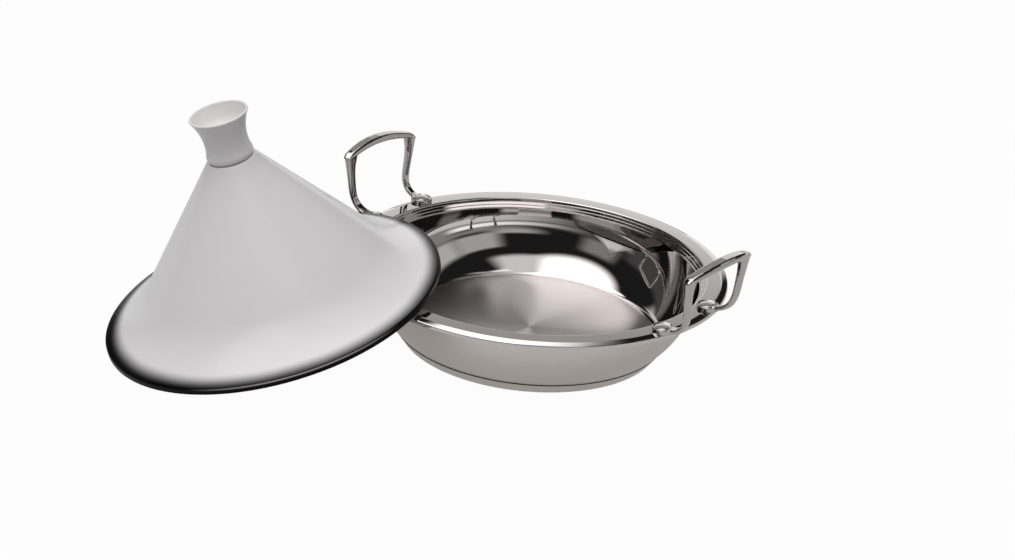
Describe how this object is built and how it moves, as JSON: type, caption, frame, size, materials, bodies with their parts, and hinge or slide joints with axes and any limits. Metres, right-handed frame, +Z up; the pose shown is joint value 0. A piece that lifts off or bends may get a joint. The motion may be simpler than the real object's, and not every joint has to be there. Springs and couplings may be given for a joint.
{
  "type": "tagine",
  "caption": "Stovetop tagine with its lid off: a shallow flanged pan with two loop handles, and a hollow cone lid with a cup knob, which stands on its rim and leans on the pan.",
  "frame": {"origin": "centre of the pan's stand face, where the flat underside of its base meets the hob", "axes": "+Z up along the pan's axis, +X out through the right-hand handle, +Y to the pan's rear; the lid leans on the front left of the flange"},
  "size_m": [0.4527, 0.4695, 0.2087],
  "materials": {
    "polished_steel": "mirror polished",
    "satin_steel": "polished inside, satin outside",
    "aluminium_core": "as rolled",
    "white_glaze": "gloss white glaze, smoky dark at the brim's edge"
  },
  "bodies": {
    "pan": {"pan_shell": "satin_steel", "heat_core": "aluminium_core", "base_cap": "satin_steel", "handle_left": "polished_steel", "handle_right": "polished_steel", "rivet_left_front": "polished_steel", "rivet_left_rear": "polished_steel", "rivet_right_front": "polished_steel", "rivet_right_rear": "polished_steel"},
    "lid": {"lid_shell": "white_glaze", "knob": "white_glaze"}
  },
  "joints": [
    {"name": "lid_lift", "type": "slide", "parent": "pan", "child": "lid", "axis": [0, 0, 1], "range_m": [0, 0.18]}
  ]
}
